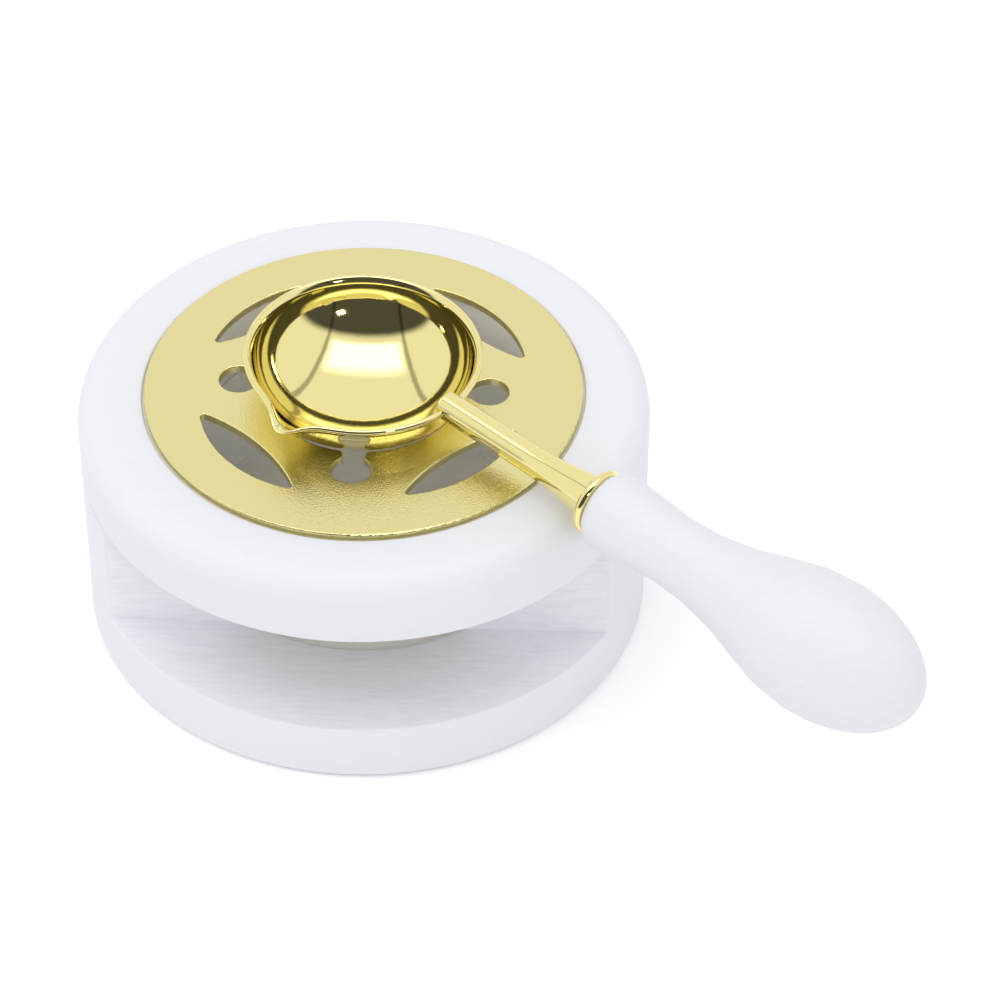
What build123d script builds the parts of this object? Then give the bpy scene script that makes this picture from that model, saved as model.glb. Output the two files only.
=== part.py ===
from build123d import *
import math
import os

os.makedirs("parts", exist_ok=True)

# A warmer for sealing wax, in millimetres. +Z is up, and the origin is the centre of the
# furnace's underside. The furnace is three round boards glued into a drum, bored from above
# for a candle and cut away in front. A pierced metal plate closes the bore, and the bowl of
# the melting spoon hangs in the hole in its middle.

# Wooden furnace
furnace_r = 44.0
base_thickness = 10.1
wall_height = 18.5
top_thickness = 11.4
front_face_depth = 21.3
well_r = 26.6
candle_recess = 1.5
top_edge_round = 4.0
base_edge_chamfer = 0.6

# Pierced plate, which lies in a shallow seat in the top board
plate_r = 33.7
plate_thickness = 1.2
plate_seat_depth = 0.5
plate_seat_clearance = 0.3
plate_edge_round = 0.25
bowl_hole_r = 15.2
pattern_turn = -2.0
pattern_repeats = 4
lobe_r = 3.0
lobe_centre_r = 19.3
neck_width = 3.2
neck_round = 0.9
slot_half_span = 26.5
slot_tip_r = 25.6
slot_outer_r = 26.4
slot_inner_r = 20.6
slot_tip_round = 0.6

# Melting spoon's bowl
bowl_r = 17.8
bowl_depth = 12.2
bowl_wall = 0.8
bowl_seat_clearance = 0.25
bowl_tilt = 1.7
lip_r = 0.5
spout_turn = -84.5
spout_height = 5.2
spout_root_r = 1.2
spout_mouth_r = 3.7
spout_overhang = 2.8

# Melting spoon's stem, collar and handle, measured along their axis from the bowl's centre
handle_turn = -38.9
handle_droop = 3.4
axis_above_rim = 0.2
stem_r = 2.2
stem_waist_x = 33.0
stem_mouth_r = 3.4
stem_mouth_x = 46.0
collar_r = 5.2
collar_thickness = 1.5
collar_round = 0.6
handle_length = 58.0
handle_root_r = 4.2
handle_shoulder_r = 6.15
handle_neck_r = 5.3
handle_bulb_r = 10.4
tang_r = 1.5
tang_clearance = 0.05
tang_in_stem = 10.0
tang_in_handle = 16.0

# How many spans the curve of an oval side is drawn with
oval_steps = 4

wall_bottom = base_thickness
wall_top = wall_bottom + wall_height
furnace_height = wall_top + top_thickness
plate_bottom = furnace_height - plate_seat_depth
plate_top = plate_bottom + plate_thickness
well_floor = base_thickness - candle_recess
far = 2 * furnace_r


def disc(radius, bottom, top):
    """A plain round solid about Z between two heights."""
    return Pos(0, 0, bottom) * extrude(Circle(radius), amount=top - bottom)


def polar(radius, degrees):
    """A point in the XY plane."""
    angle = math.radians(degrees)
    return (radius * math.cos(angle), radius * math.sin(angle))


def write(name, solid):
    solid.label = name
    export_step(solid, f"parts/{name}.step")


# Base board: the bore goes a little way into it and leaves a round seat for the candle.
base_board = disc(furnace_r, 0, base_thickness)
base_board = chamfer(base_board.edges().group_by(Axis.Z)[0], base_edge_chamfer)
base_board -= disc(well_r, well_floor, base_thickness + candle_recess)
write("base_board", base_board)

# Wall block: the drum's middle, with its front sawn off flat. The bore breaks through that
# flat face, and the break is the window through which the flame is seen and gets its air.
front_cut = Pos(0, -front_face_depth - far / 2, wall_bottom + wall_height / 2)
wall_block = disc(furnace_r, wall_bottom, wall_top)
wall_block -= front_cut * Box(2 * far, far, 2 * wall_height)
wall_block -= disc(well_r, wall_bottom - 1, wall_top + 1)
write("wall_block", wall_block)

# Top board: bored right through, rounded at its rim, with the plate's seat turned into it.
top_board = disc(furnace_r, wall_top, furnace_height)
top_board = fillet(top_board.edges().group_by(Axis.Z)[-1], top_edge_round)
top_board -= disc(well_r, wall_top - 1, furnace_height + 1)
top_board -= disc(plate_r + plate_seat_clearance, plate_bottom, furnace_height + 1)
write("top_board", top_board)


def keyhole_opening():
    """The middle hole with a round lobe on a narrow neck at each quarter of it."""
    opening = Sketch() + Circle(bowl_hole_r)
    for index in range(pattern_repeats):
        turn = Rot(0, 0, pattern_turn + index * 360 / pattern_repeats)
        opening += turn * Pos(lobe_centre_r / 2, 0) * Rectangle(lobe_centre_r, neck_width)
        opening += turn * Pos(lobe_centre_r, 0) * Circle(lobe_r)
    corners = [v for v in opening.vertices() if math.hypot(v.X, v.Y) < lobe_centre_r]
    return fillet(corners, neck_round)


def lens_slot(middle_angle):
    """A slot between two arcs that meet in rounded tips."""
    start = polar(slot_tip_r, middle_angle - slot_half_span)
    end = polar(slot_tip_r, middle_angle + slot_half_span)
    outer = ThreePointArc(start, polar(slot_outer_r, middle_angle), end)
    inner = ThreePointArc(end, polar(slot_inner_r, middle_angle), start)
    slot = make_face(Curve() + [outer, inner])
    return fillet(slot.vertices(), slot_tip_round)


# Ring plate: stamped sheet metal with a keyhole opening and four curved slots.
plate_face = Sketch() + Circle(plate_r)
plate_face -= keyhole_opening()
for index in range(pattern_repeats):
    plate_face -= lens_slot(pattern_turn + (index + 0.5) * 360 / pattern_repeats)
ring_plate = Pos(0, 0, plate_bottom) * extrude(plate_face, amount=plate_thickness)
ring_plate = fillet(ring_plate.edges().group_by(Axis.Z)[-1], plate_edge_round)
write("ring_plate", ring_plate)

# The bowl is half an ellipsoid. It sinks into the plate's hole until its side meets the
# hole's edge, which sets the height of its rim.
seat_share = (bowl_hole_r - bowl_seat_clearance) / bowl_r
rim_above_plate = bowl_depth * math.sqrt(1 - seat_share ** 2)
rim_height = plate_top + rim_above_plate


def quarter_oval(centre_x, width, height):
    """A smooth quarter of an oval, from its lowest point to its point furthest along X."""
    angles = [math.radians(step * 90 / oval_steps) for step in range(oval_steps + 1)]
    points = [(centre_x + width * math.sin(t), -height * math.cos(t)) for t in angles]
    return Spline(*points, tangents=[(1, 0), (0, 1)])


def half_ellipsoid(radius, depth):
    """A solid bowl shape below the XY plane, about Z."""
    edges = [quarter_oval(0, radius, depth), Line((radius, 0), (0, 0)), Line((0, 0), (0, -depth))]
    return revolve(Plane.XZ * make_face(Curve() + edges), Axis.Z)


spout_mouth_x = bowl_r + spout_overhang - spout_mouth_r


def spout_cone(shrink):
    """A cone that leans out of the bowl's side and opens at its rim."""
    root_x = bowl_r * math.sqrt(1 - (spout_height / bowl_depth) ** 2) - spout_root_r
    root = Pos(root_x, 0, -spout_height) * Circle(spout_root_r - shrink)
    mouth = Pos(spout_mouth_x, 0, 0) * Circle(spout_mouth_r - shrink)
    return loft([root.face(), mouth.face()])


# The bowl is made with its spout towards +X, and then turned to its place. The weight of the
# handle tips it a little.
bowl_place = Pos(0, 0, rim_height) * Rot(0, 0, handle_turn) * Rot(0, bowl_tilt, 0) * Rot(0, 0, spout_turn)
bowl_outside = half_ellipsoid(bowl_r, bowl_depth) + spout_cone(0)
bowl_inside = half_ellipsoid(bowl_r - bowl_wall, bowl_depth - bowl_wall) + spout_cone(bowl_wall)

# The rim is turned outwards into a thin rolled lip, which stops at the spout.
lip_circle = Plane.XZ * Pos(bowl_r, -lip_r / 2) * Circle(lip_r)
lip = revolve(lip_circle, Axis.Z) - spout_cone(bowl_wall)
spoon_bowl = bowl_place * (bowl_outside - bowl_inside + lip)
write("spoon_bowl", spoon_bowl)

spoon_axis = Pos(0, 0, rim_height + axis_above_rim) * Rot(0, 0, handle_turn) * Rot(0, handle_droop, 0)
collar_back_x = stem_mouth_x + collar_thickness


def turned(edges):
    """A solid turned about X from an outline in the XY plane."""
    return revolve(make_face(Curve() + edges), Axis.X)


def rod(radius, start_x, end_x):
    """A round rod about X."""
    return Pos(start_x, 0, 0) * Rot(0, 90, 0) * extrude(Circle(radius), amount=end_x - start_x)


tang_start = stem_mouth_x - tang_in_stem
tang_end = collar_back_x + tang_in_handle
tang_bore = rod(tang_r + tang_clearance, tang_start, tang_end)

# Stem: a turned rod, brazed to the bowl under its rim, which opens like a trumpet.
stem_start_x = bowl_r - 3 * bowl_wall
trumpet = Spline((stem_waist_x, stem_r), (stem_mouth_x, stem_mouth_r), tangents=[(1, 0), (1, 0.25)])
stem = turned([
    Line((stem_start_x, 0), (stem_start_x, stem_r)),
    Line((stem_start_x, stem_r), (stem_waist_x, stem_r)),
    trumpet,
    Line((stem_mouth_x, stem_mouth_r), (stem_mouth_x, 0)),
    Line((stem_mouth_x, 0), (stem_start_x, 0)),
])
stem = spoon_axis * (stem - tang_bore) - bowl_place * (bowl_outside + lip)
spoon_stem = stem.solids().sort_by(SortBy.VOLUME)[-1]
write("spoon_stem", spoon_stem)

# Collar: the bright ring between the stem and the wood.
collar = rod(collar_r, stem_mouth_x, collar_back_x)
collar = fillet(collar.edges(), collar_round)
stem_collar = spoon_axis * (collar - tang_bore)
write("stem_collar", stem_collar)

# Handle: turned wood, with a shoulder behind the collar, a slim neck and a pear-shaped end.
handle_end_x = collar_back_x + handle_length
handle_bulb_x = collar_back_x + 0.71 * handle_length
handle_shoulder = (collar_back_x + 0.05 * handle_length, -handle_shoulder_r)
handle_side = Spline(
    handle_shoulder,
    (collar_back_x + 0.23 * handle_length, -handle_neck_r),
    (collar_back_x + 0.43 * handle_length, -0.64 * handle_bulb_r),
    (handle_bulb_x, -handle_bulb_r),
    tangents=[(1, 0), (1, 0)],
)
handle = turned([
    Line((collar_back_x, 0), (collar_back_x, -handle_root_r)),
    TangentArc(handle_shoulder, (collar_back_x, -handle_root_r), tangent=(-1, 0)),
    handle_side,
    quarter_oval(handle_bulb_x, handle_end_x - handle_bulb_x, handle_bulb_r),
    Line((handle_end_x, 0), (collar_back_x, 0)),
])
write("handle", spoon_axis * (handle - tang_bore))

# Tang: the steel pin that holds the stem, the collar and the handle together.
write("handle_tang", spoon_axis * rod(tang_r, tang_start, tang_end))

print("plate top", round(plate_top, 2), "rim", round(rim_height, 2), "furnace", round(furnace_height, 2))
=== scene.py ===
import math

import bmesh
import bpy
from mathutils import Matrix, Vector


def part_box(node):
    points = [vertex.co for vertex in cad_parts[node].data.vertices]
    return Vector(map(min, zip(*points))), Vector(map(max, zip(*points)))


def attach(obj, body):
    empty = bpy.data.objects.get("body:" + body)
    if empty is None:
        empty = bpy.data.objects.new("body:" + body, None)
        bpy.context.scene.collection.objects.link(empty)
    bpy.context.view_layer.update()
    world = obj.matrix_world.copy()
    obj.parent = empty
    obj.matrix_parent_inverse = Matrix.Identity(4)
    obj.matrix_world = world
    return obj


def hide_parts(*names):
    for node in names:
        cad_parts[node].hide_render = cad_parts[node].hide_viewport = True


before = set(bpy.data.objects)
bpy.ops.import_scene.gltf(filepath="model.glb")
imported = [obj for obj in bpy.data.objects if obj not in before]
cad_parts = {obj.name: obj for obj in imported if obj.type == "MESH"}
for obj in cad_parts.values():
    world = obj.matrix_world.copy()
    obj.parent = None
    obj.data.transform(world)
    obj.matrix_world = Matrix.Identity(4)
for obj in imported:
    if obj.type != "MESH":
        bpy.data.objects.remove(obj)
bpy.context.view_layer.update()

# Camera. It looks down at the furnace from in front, a little to the right, through a long
# lens, so that the drum's two rims stay nearly parallel.
CAMERA_TURN = math.radians(1.844)
CAMERA_RISE = math.radians(42.489)
CAMERA_ROLL = math.radians(0.424)
CAMERA_DISTANCE = 0.6256
AIM_HEIGHT = 0.020
AIM_RIGHT = -0.02099
AIM_UP = 0.002307
FOCAL_SHARE = 3.9889
SENSOR = 36.0


def camera_axes():
    """The camera's right, up and backward directions."""
    flat = math.cos(CAMERA_RISE)
    back = Vector((math.sin(CAMERA_TURN) * flat, -math.cos(CAMERA_TURN) * flat, math.sin(CAMERA_RISE)))
    level = Vector((math.cos(CAMERA_TURN), math.sin(CAMERA_TURN), 0))
    upright = back.cross(level)
    right = math.cos(CAMERA_ROLL) * level + math.sin(CAMERA_ROLL) * upright
    up = math.cos(CAMERA_ROLL) * upright - math.sin(CAMERA_ROLL) * level
    return right, up, back


def place_camera():
    right, up, back = camera_axes()
    eye = Vector((0, 0, AIM_HEIGHT)) - right * AIM_RIGHT - up * AIM_UP + back * CAMERA_DISTANCE
    data = bpy.data.cameras.new("camera")
    data.sensor_width = SENSOR
    data.lens = FOCAL_SHARE * SENSOR
    data.clip_start = 0.01
    data.clip_end = 20
    camera = bpy.data.objects.new("camera", data)
    camera.matrix_world = Matrix.Translation(eye) @ Matrix((right, up, back)).transposed().to_4x4()
    bpy.context.scene.collection.objects.link(camera)
    bpy.context.scene.camera = camera


place_camera()


# Studio. A white floor inside a white tent, with one wide soft lamp above from the left and a
# small weak one from the front right. Only polished metal sees the tent's opening, panel and
# seams, which are given as parts of a direction: X to the right, Y away, Z up.
FLOOR_SIZE = 6.0
FLOOR_WHITE = 0.93
FLOOR_LIFT = 0.16
FILL_COLOUR = (0.88, 0.885, 0.91, 1)
TENT_WHITE = 0.96
OPENING_GREY = 0.08
OPENING_Y = (-0.50, -0.34)
OPENING_Z = (-0.12, 0.12)
PANEL_NEAR_Y = (-0.32, -0.22)
PANEL_FAR_Y = (0.10, 0.34)
PANEL_SIDE_X = (0.38, 0.50)
PANEL_GAIN = 1.6
SEAM_X = 0.52
SEAM_HALF_WIDTH = 0.035
SEAM_CORE = 0.4
SEAM_GREY = 0.45
LAMP_TARGET = (0, 0, 0.02)


def surface(name, colour, roughness, metallic=0.0):
    """A new node material, and its shader, with the plain values set on the shader's own sockets."""
    material = bpy.data.materials.new(name)
    material.use_nodes = True
    shader = material.node_tree.nodes["Principled BSDF"]
    shader.inputs["Base Color"].default_value = (*colour, 1)
    shader.inputs["Roughness"].default_value = roughness
    shader.inputs["Metallic"].default_value = metallic
    return material, shader


def combined(tree, operation, *sources):
    """A Math node over plain numbers and other nodes' outputs."""
    node = tree.nodes.new("ShaderNodeMath")
    node.operation = operation
    for socket, source in zip(node.inputs, sources):
        if isinstance(source, float):
            socket.default_value = source
        else:
            tree.links.new(source, socket)
    return node.outputs[0]


def white_floor_material():
    """A floor that takes shadows, and that looks plain white to the lens and in the metal."""
    material, shader = surface("studio_floor", (FLOOR_WHITE,) * 3, 0.9)
    tree = material.node_tree
    path = tree.nodes.new("ShaderNodeLightPath")
    seen = combined(tree, "MAXIMUM", path.outputs["Is Camera Ray"], path.outputs["Is Glossy Ray"])
    glow = tree.nodes.new("ShaderNodeEmission")
    tree.links.new(combined(tree, "MULTIPLY", seen, FLOOR_LIFT), glow.inputs["Strength"])
    add = tree.nodes.new("ShaderNodeAddShader")
    tree.links.new(shader.outputs[0], add.inputs[0])
    tree.links.new(glow.outputs[0], add.inputs[1])
    tree.links.new(add.outputs[0], tree.nodes["Material Output"].inputs["Surface"])
    return material


def make_floor():
    mesh = bpy.data.meshes.new("studio_floor")
    bm = bmesh.new()
    bmesh.ops.create_grid(bm, x_segments=1, y_segments=1, size=FLOOR_SIZE / 2)
    bm.to_mesh(mesh)
    bm.free()
    floor = bpy.data.objects.new("studio_floor", mesh)
    floor.location.z = -0.0002
    mesh.materials.append(white_floor_material())
    bpy.context.scene.collection.objects.link(floor)


def make_lamp(name, place, size, power, seen_in_metal):
    """A square lamp that faces the furnace, and that polished metal may or may not reflect."""
    data = bpy.data.lights.new(name, "AREA")
    data.shape = "SQUARE"
    data.size = size
    data.energy = power
    lamp = bpy.data.objects.new(name, data)
    lamp.location = place
    lamp.visible_glossy = seen_in_metal
    lamp.rotation_euler = (Vector(LAMP_TARGET) - Vector(place)).to_track_quat("-Z", "Y").to_euler()
    bpy.context.scene.collection.objects.link(lamp)


def eased(tree, source, span, start, end):
    """A smooth change from start to end as the source crosses the span."""
    step = tree.nodes.new("ShaderNodeMapRange")
    step.interpolation_type = "SMOOTHSTEP"
    names = ("From Min", "From Max", "To Min", "To Max")
    for name, value in zip(names, (*span, start, end)):
        step.inputs[name].default_value = value
    tree.links.new(source, step.inputs["Value"])
    return step.outputs["Result"]


def tent_brightness(tree):
    """How bright the tent is in each direction."""
    place = tree.nodes.new("ShaderNodeTexCoord")
    split = tree.nodes.new("ShaderNodeSeparateXYZ")
    tree.links.new(place.outputs["Generated"], split.inputs[0])
    away = split.outputs["Y"]
    sideways = combined(tree, "ABSOLUTE", split.outputs["X"])

    in_front = eased(tree, away, OPENING_Y, 1.0, 0.0)
    above_sill = eased(tree, split.outputs["Z"], OPENING_Z, 0.0, 1.0)
    hole = combined(tree, "MULTIPLY", in_front, above_sill)
    opening = combined(tree, "MULTIPLY", hole, OPENING_GREY - TENT_WHITE)

    past_near_edge = eased(tree, away, PANEL_NEAR_Y, 0.0, 1.0)
    before_far_edge = eased(tree, away, PANEL_FAR_Y, 1.0, 0.0)
    strip = combined(tree, "MULTIPLY", past_near_edge, before_far_edge)
    panel = combined(tree, "MULTIPLY", strip, eased(tree, sideways, PANEL_SIDE_X, PANEL_GAIN, 0.0))

    off_seam = combined(tree, "ABSOLUTE", combined(tree, "SUBTRACT", sideways, SEAM_X))
    seam_span = (SEAM_HALF_WIDTH * SEAM_CORE, SEAM_HALF_WIDTH)
    seam = eased(tree, off_seam, seam_span, SEAM_GREY, 1.0)
    cloth = combined(tree, "ADD", combined(tree, "ADD", opening, panel), TENT_WHITE)
    return combined(tree, "MULTIPLY", cloth, seam)


def make_world():
    """Plain soft light, white behind the furnace, with the tent for what polished metal reflects."""
    world = bpy.data.worlds.new("studio")
    world.use_nodes = True
    tree = world.node_tree
    path = tree.nodes.new("ShaderNodeLightPath")
    reflected = tree.nodes.new("ShaderNodeMix")
    reflected.data_type = "RGBA"
    reflected.inputs["A"].default_value = FILL_COLOUR
    tree.links.new(path.outputs["Is Glossy Ray"], reflected.inputs["Factor"])
    tree.links.new(tent_brightness(tree), reflected.inputs["B"])
    white = tree.nodes.new("ShaderNodeMix")
    white.data_type = "RGBA"
    white.inputs["B"].default_value = (1, 1, 1, 1)
    tree.links.new(path.outputs["Is Camera Ray"], white.inputs["Factor"])
    tree.links.new(reflected.outputs["Result"], white.inputs["A"])
    tree.links.new(white.outputs["Result"], tree.nodes["Background"].inputs["Color"])
    bpy.context.scene.world = world


make_floor()
make_world()
make_lamp("soft_lamp_top", (-0.35, -0.10, 0.95), 0.9, 2.2, seen_in_metal=False)
make_lamp("soft_lamp_front", (0.45, -0.85, 0.55), 0.12, 0.6, seen_in_metal=True)
bpy.context.scene.view_settings.view_transform = "Standard"


# Furnace boards. Three round boards of fine-grained wood, glued into a drum, bored for the
# candle and sprayed matt white. The middle board's front is sawn off flat, and the grain shows
# most there and on the board below it. Those sawn faces and the bore get lighter copies of the
# white paint, the bore's also warmer: painted light, standing in for light that the lamps bring
# less into the notch and the bore, and in the bore for warm light off the gold plate.
FURNACE_R = 0.044
WELL_R = 0.0266
TURNING_STEPS = 192
ARRIS = 0.00035
TOP_ROUND = 0.004
BASE_CHAMFER = 0.0006
CANDLE_RECESS = 0.0015
PLATE_SEAT_R = 0.0340
PLATE_SEAT_DEPTH = 0.0005
PAINT = (0.825, 0.83, 0.86)
PAINT_SHADE = (0.815, 0.82, 0.85)
# The sawn faces' paint and its grain shade are the board paint made lighter: painted light for the shaded
# notch.
SAWN_PAINT_WITH_PAINTED_LIGHT = (0.86, 0.855, 0.885)
SAWN_SHADE_WITH_PAINTED_LIGHT = (0.82, 0.812, 0.848)
# The bore's paint and its grain shade are the board paint made lighter and warmer: painted light in the
# shaded bore, warm as from the gold plate.
BORE_PAINT_WITH_PAINTED_LIGHT = (0.92, 0.915, 0.89)
BORE_SHADE_WITH_PAINTED_LIGHT = (0.89, 0.88, 0.85)
WOOD_GRAIN_SCALE = 900
WOOD_GRAIN_STRETCH = (0.25, 1.6, 1.6)
WOOD_GRAIN_DEPTH = 0.0002
SMOOTH_ANGLE = math.radians(40)
FACE_SLACK = 0.00001
BORE_SLACK = 0.0001


def rough_up(tree, shader, scale, detail, strength, depth, stretch=(1, 1, 1)):
    """Gives a finish fine relief from noise, drawn out by stretch, and returns the noise."""
    place = tree.nodes.new("ShaderNodeTexCoord")
    mapping = tree.nodes.new("ShaderNodeMapping")
    mapping.inputs["Scale"].default_value = stretch
    noise = tree.nodes.new("ShaderNodeTexNoise")
    noise.inputs["Scale"].default_value = scale
    noise.inputs["Detail"].default_value = detail
    bump = tree.nodes.new("ShaderNodeBump")
    bump.inputs["Strength"].default_value = strength
    bump.inputs["Distance"].default_value = depth
    tree.links.new(place.outputs["Object"], mapping.inputs["Vector"])
    tree.links.new(mapping.outputs["Vector"], noise.inputs["Vector"])
    tree.links.new(noise.outputs["Fac"], bump.inputs["Height"])
    tree.links.new(bump.outputs["Normal"], shader.inputs["Normal"])
    return noise.outputs["Fac"]


def painted_wood_material(name, colour, shade, roughness, relief):
    """Paint over grain along X, a little darker in the grain's hollows."""
    material, shader = surface(name, colour, roughness)
    tree = material.node_tree
    grain = rough_up(tree, shader, WOOD_GRAIN_SCALE, 6, relief, WOOD_GRAIN_DEPTH, WOOD_GRAIN_STRETCH)
    ramp = tree.nodes.new("ShaderNodeValToRGB")
    stops = zip(ramp.color_ramp.elements, (0.35, 0.60), (shade, colour))
    for element, position, stop_colour in stops:
        element.position = position
        element.color = (*stop_colour, 1)
    tree.links.new(grain, ramp.inputs[0])
    tree.links.new(ramp.outputs["Color"], shader.inputs["Base Color"])
    return material


board_paint = painted_wood_material("board_paint", PAINT, PAINT_SHADE, 0.6, 0.06)
# Sawn faces: coarser grain and rougher, and painted lighter than the boards as painted light.
sawn_paint_with_painted_light = painted_wood_material("sawn_paint_with_painted_light", SAWN_PAINT_WITH_PAINTED_LIGHT, SAWN_SHADE_WITH_PAINTED_LIGHT, 0.8, 0.35)
# Bore: painted lighter and warmer than the boards, as painted light.
bore_paint_with_painted_light = painted_wood_material("bore_paint_with_painted_light", BORE_PAINT_WITH_PAINTED_LIGHT, BORE_SHADE_WITH_PAINTED_LIGHT, 0.75, 0.3)


def finish_faces(piece, material, chosen):
    """Gives the faces that chosen picks, by their centre and normal, a finish of their own."""
    piece.data.materials.append(material)
    last = len(piece.data.materials) - 1
    for face in piece.data.polygons:
        if chosen(face.center, face.normal):
            face.material_index = last


def in_bore(centre, _normal):
    return math.hypot(centre.x, centre.y) < WELL_R + BORE_SLACK


def on_base_floor(centre, normal):
    return centre.z > base_top - FACE_SLACK and normal.z > 0.9


def on_wall_front(centre, normal):
    return centre.y < front_face_y + FACE_SLACK and normal.y < -0.9


def add_piece(name, bm, material, body, node):
    """Links a finished bmesh as a piece that rides on a body and stands for a CAD node."""
    mesh = bpy.data.meshes.new(name)
    bmesh.ops.recalc_face_normals(bm, faces=bm.faces)
    bm.to_mesh(mesh)
    bm.free()
    mesh.materials.append(material)
    mesh.shade_smooth()
    mesh.set_sharp_from_angle(angle=SMOOTH_ANGLE)
    piece = bpy.data.objects.new(name, mesh)
    bpy.context.scene.collection.objects.link(piece)
    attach(piece, body)
    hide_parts(node)
    return piece


def turned(outline, closed, steps=TURNING_STEPS):
    """A bmesh turned about Z from (radius, height) points."""
    bm = bmesh.new()
    verts = [bm.verts.new((radius, 0, height)) for radius, height in outline]
    pairs = list(zip(verts, verts[1:]))
    if closed:
        pairs.append((verts[-1], verts[0]))
    edges = [bm.edges.new(pair) for pair in pairs]
    bmesh.ops.spin(bm, geom=verts + edges, axis=(0, 0, 1), cent=(0, 0, 0), dvec=(0, 0, 0),
                   angle=math.tau, steps=steps, use_merge=True, use_duplicate=False)
    bmesh.ops.remove_doubles(bm, verts=bm.verts, dist=1e-7)
    return bm


def round_corner(centre, radius, start, end, steps=8):
    """Points on an arc about centre, from one angle in degrees to another."""
    points = []
    for index in range(steps + 1):
        angle = math.radians(start + (end - start) * index / steps)
        points.append((centre[0] + radius * math.cos(angle), centre[1] + radius * math.sin(angle)))
    return points


base_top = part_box("base_board")[1].z
wall_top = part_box("wall_block")[1].z
furnace_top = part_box("top_board")[1].z
front_face_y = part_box("wall_block")[0].y

base_outline = [(0, 0), (FURNACE_R - BASE_CHAMFER, 0), (FURNACE_R, BASE_CHAMFER)]
base_outline += round_corner((FURNACE_R - ARRIS, base_top - ARRIS), ARRIS, 0, 90, 4)
base_outline += round_corner((WELL_R + ARRIS, base_top - ARRIS), ARRIS, 90, 180, 4)
base_outline += [(WELL_R, base_top - CANDLE_RECESS), (0, base_top - CANDLE_RECESS)]
base_piece = add_piece("base_board_wood", turned(base_outline, False), board_paint,
                       "furnace", "base_board")
# The base's floor in the notch takes the lighter paint: painted light.
finish_faces(base_piece, sawn_paint_with_painted_light, on_base_floor)
# The base's bore faces take the lighter, warmer paint: painted light.
finish_faces(base_piece, bore_paint_with_painted_light, in_bore)

top_outline = [(WELL_R, wall_top + ARRIS), (WELL_R + ARRIS, wall_top)]
top_outline += round_corner((FURNACE_R - ARRIS, wall_top + ARRIS), ARRIS, -90, 0, 4)
top_outline += round_corner((FURNACE_R - TOP_ROUND, furnace_top - TOP_ROUND), TOP_ROUND, 0, 90, 14)
top_outline += round_corner((PLATE_SEAT_R + ARRIS, furnace_top - ARRIS), ARRIS, 90, 180, 3)
top_outline += [(PLATE_SEAT_R, furnace_top - PLATE_SEAT_DEPTH), (WELL_R, furnace_top - PLATE_SEAT_DEPTH)]
top_piece = add_piece("top_board_wood", turned(top_outline, True), board_paint,
                      "furnace", "top_board")
# The top board's bore faces take the lighter, warmer paint: painted light.
finish_faces(top_piece, bore_paint_with_painted_light, in_bore)


def wall_block():
    """A thick tube with its front cut off flat, its cut edges broken by the paint."""
    outline = [(WELL_R, base_top), (FURNACE_R, base_top), (FURNACE_R, wall_top), (WELL_R, wall_top)]
    bm = turned(outline, True)
    everything = bm.verts[:] + bm.edges[:] + bm.faces[:]
    cut = bmesh.ops.bisect_plane(bm, geom=everything, plane_co=(0, front_face_y, 0),
                                 plane_no=(0, -1, 0), clear_outer=True)
    rim = [item for item in cut["geom_cut"] if isinstance(item, bmesh.types.BMEdge)]
    bmesh.ops.edgeloop_fill(bm, edges=rim)
    upright = [edge for edge in bm.edges if abs(edge.verts[0].co.z - edge.verts[1].co.z) > 0.01
               and all(abs(vert.co.y - front_face_y) < 1e-5 for vert in edge.verts)]
    bmesh.ops.bevel(bm, geom=upright, offset=ARRIS, segments=3, profile=0.5, affect="EDGES", material=-1)
    return bm


wall_piece = add_piece("wall_block_wood", wall_block(), board_paint, "furnace", "wall_block")
# The sawn front of the middle board takes the lighter paint: painted light.
finish_faces(wall_piece, sawn_paint_with_painted_light, on_wall_front)
# The middle board's bore faces take the lighter, warmer paint: painted light.
finish_faces(wall_piece, bore_paint_with_painted_light, in_bore)


# Ring plate. Stamped sheet, plated pale gold, satin and finely grained. Its middle hole has four
# round lobes, with four curved slots outside them. It keeps its CAD shape and gets its finish here.
SATIN_GOLD = (0.81, 0.73, 0.35)


def gold_material(name, colour, roughness, *relief):
    """Gold plating over metal with fine relief: its scale, detail, strength and depth."""
    material, shader = surface(name, colour, roughness, metallic=1.0)
    rough_up(material.node_tree, shader, *relief)
    return material


satin_gold = gold_material("satin_gold", SATIN_GOLD, 0.2, 3200, 2, 0.8, 0.0001)
ring_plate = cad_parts["ring_plate"]
for plate_slot in ring_plate.material_slots:
    plate_slot.material = satin_gold


# Melting spoon's bowl. Pressed from thin sheet to a cup with an oval section, a rolled lip and
# one pouring spout at about a right angle to the handle, then polished and plated.
HANDLE_TURN = math.radians(-38.9)
HANDLE_DROOP = math.radians(3.4)
SPOUT_TURN = HANDLE_TURN - math.radians(84.5)
BOWL_R = 0.0178
BOWL_DEPTH = 0.0122
BOWL_WALL = 0.0008
BOWL_SEAT_R = 0.01495
LIP_R = 0.0005
BOWL_RINGS = 40
BOWL_STEPS = 256
SPOUT_REACH = 0.0029
SPOUT_DIP = 0.0011
SPOUT_WIDTH = math.radians(11)
SPOUT_DIP_WIDTH = 0.7 * SPOUT_WIDTH
SPOUT_HEIGHT = 0.55 * BOWL_DEPTH
BOWL_TILT = math.radians(1.7)
POLISHED_GOLD = (0.89, 0.79, 0.36)
PLATE_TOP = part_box("ring_plate")[1].z
SEAT_SHARE = BOWL_SEAT_R / BOWL_R
RIM_HEIGHT = PLATE_TOP + BOWL_DEPTH * math.sqrt(1 - SEAT_SHARE ** 2)


polished_gold = gold_material("polished_gold", POLISHED_GOLD, 0.065, 260, 3, 0.05, 0.0003)


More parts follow.
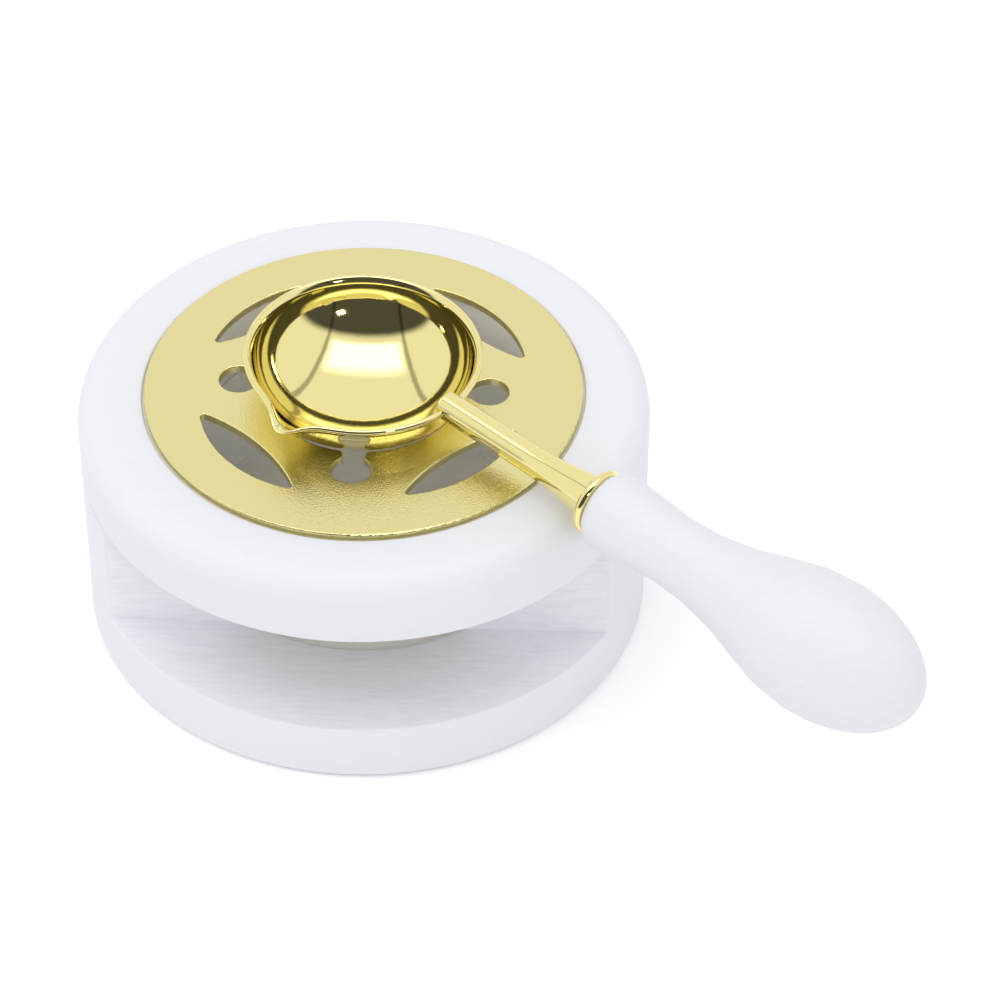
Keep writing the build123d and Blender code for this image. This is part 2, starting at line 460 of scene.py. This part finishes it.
def bowl_outline():
    """The bowl's section: inside from the pole up, round the lip, and down the outside."""
    inner_r = BOWL_R - BOWL_WALL
    inner_depth = BOWL_DEPTH - BOWL_WALL
    angles = [math.pi / 2 * index / BOWL_RINGS for index in range(BOWL_RINGS + 1)]
    inside = [(inner_r * math.sin(t), -inner_depth * math.cos(t)) for t in angles]
    outside = [(BOWL_R * math.sin(t), -BOWL_DEPTH * math.cos(t)) for t in angles[:-3]]
    lip = round_corner((BOWL_R, -LIP_R / 2), LIP_R, 130, -70, 10)
    return inside[:-1] + lip + outside[::-1]


def draw_spout(bm):
    """Pushes the side out and its rim down where the wax is poured."""
    for vert in bm.verts:
        turn = math.atan2(vert.co.y, vert.co.x) - SPOUT_TURN
        turn = (turn + math.pi) % math.tau - math.pi
        height = max(0.0, 1 + vert.co.z / SPOUT_HEIGHT)
        share = math.exp(-(turn / SPOUT_WIDTH) ** 2) * height ** 1.5
        reach = Vector((math.cos(SPOUT_TURN), math.sin(SPOUT_TURN), 0)) * SPOUT_REACH * share
        vert.co += reach
        vert.co.z -= SPOUT_DIP * math.exp(-(turn / SPOUT_DIP_WIDTH) ** 2) * height ** 3


bowl = turned(bowl_outline(), False, BOWL_STEPS)
draw_spout(bowl)
bowl_place = (Matrix.Translation((0, 0, RIM_HEIGHT)) @ Matrix.Rotation(HANDLE_TURN, 4, "Z")
              @ Matrix.Rotation(BOWL_TILT, 4, "Y") @ Matrix.Rotation(-HANDLE_TURN, 4, "Z"))
bmesh.ops.transform(bowl, matrix=bowl_place, verts=bowl.verts)
add_piece("bowl_metal", bowl, polished_gold, "spoon", "spoon_bowl")


# Stem and collar. A turned and plated rod, brazed to the bowl at its rim, opens like a trumpet
# against a bright collar ring.
AXIS_ABOVE_RIM = 0.0002
STEM_R = 0.0022
STEM_START = 0.0166
STEM_WAIST = 0.033
STEM_STRAIGHT_END = 0.8 * STEM_WAIST
STEM_MOUTH_R = 0.0034
STEM_MOUTH = 0.046
COLLAR_R = 0.0052
COLLAR_THICKNESS = 0.0015
COLLAR_BORE_R = 0.0015
COLLAR_FACE_R = COLLAR_R - 0.0016
COLLAR_FACE_STEP = 0.0002
STEM_ARRIS = 0.0003
EARLY_FLARE = 0.55
SPOON_AXIS = (Matrix.Translation((0, 0, RIM_HEIGHT + AXIS_ABOVE_RIM))
              @ Matrix.Rotation(HANDLE_TURN, 4, "Z")
              @ Matrix.Rotation(HANDLE_DROOP + math.pi / 2, 4, "Y"))


def turned_on_axis(outline, steps=96):
    """Turned like any piece, from (radius, distance) points, and laid along the spoon's axis."""
    bm = turned(outline, False, steps)
    bmesh.ops.transform(bm, matrix=SPOON_AXIS, verts=bm.verts)
    return bm


def stem_outline():
    points = [(0, STEM_START), (STEM_R - STEM_ARRIS, STEM_START), (STEM_R, STEM_START + STEM_ARRIS)]
    points.append((STEM_R, STEM_STRAIGHT_END))
    for index in range(17):
        share = index / 16
        flare = EARLY_FLARE * share * share * (3 - 2 * share) + (1 - EARLY_FLARE) * share ** 3
        along = STEM_WAIST + (STEM_MOUTH - STEM_WAIST) * share
        points.append((STEM_R + (STEM_MOUTH_R - STEM_R) * flare, along))
    points.append((0, STEM_MOUTH))
    return points


add_piece("stem_metal", turned_on_axis(stem_outline()), polished_gold,
          "spoon", "spoon_stem")

half_collar = COLLAR_THICKNESS / 2
collar_outline = [(COLLAR_BORE_R, STEM_MOUTH), (COLLAR_FACE_R, STEM_MOUTH + COLLAR_FACE_STEP)]
collar_outline += round_corner((COLLAR_R - half_collar, STEM_MOUTH + half_collar), half_collar, -90, 90, 12)
collar_outline.append((COLLAR_BORE_R, STEM_MOUTH + COLLAR_THICKNESS))
add_piece("collar_metal", turned_on_axis(collar_outline), polished_gold,
          "spoon", "stem_collar")


# Handle. Turned wood with a shoulder, a slim neck and a pear-shaped end, sprayed satin white.
HANDLE_START = STEM_MOUTH + COLLAR_THICKNESS
HANDLE_LENGTH = 0.058
ROOT_R = 0.0042
BULB_R = 0.0104
SHOULDER_R = 0.00615
SHOULDER_SHARE = 0.05
HANDLE_SECTIONS = ((SHOULDER_SHARE, SHOULDER_R), (0.13, 0.00582), (0.23, 0.0053),
                   (0.33, 0.00562), (0.43, 0.00666), (0.52, 0.0083), (0.61, 0.0098))
BULB_SHARE = 0.71
HANDLE_PAINT = (0.80, 0.80, 0.82)
HANDLE_SHADE = (0.785, 0.785, 0.81)


def handle_outline():
    points = [(0, HANDLE_START), (ROOT_R, HANDLE_START)]
    for angle in (0.4, 0.8, 1.2):
        radius = ROOT_R + (SHOULDER_R - ROOT_R) * math.sin(angle)
        points.append((radius, HANDLE_START + SHOULDER_SHARE * HANDLE_LENGTH * (1 - math.cos(angle))))
    points += [(radius, HANDLE_START + share * HANDLE_LENGTH) for share, radius in HANDLE_SECTIONS]
    for index in range(25):
        angle = math.pi / 2 * index / 24
        along = BULB_SHARE + (1 - BULB_SHARE) * math.sin(angle)
        points.append((BULB_R * math.cos(angle), HANDLE_START + along * HANDLE_LENGTH))
    return points


handle_paint = painted_wood_material("handle_paint", HANDLE_PAINT, HANDLE_SHADE, 0.5, 0.08)
add_piece("handle_wood", turned_on_axis(handle_outline(), 128), handle_paint,
          "spoon", "handle")


# Tang. A bright steel pin inside the stem and the handle.
STEEL = (0.6, 0.6, 0.62)
steel, _shader = surface("tang_steel", STEEL, 0.3, metallic=1.0)
for tang_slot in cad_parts["handle_tang"].material_slots:
    tang_slot.material = steel
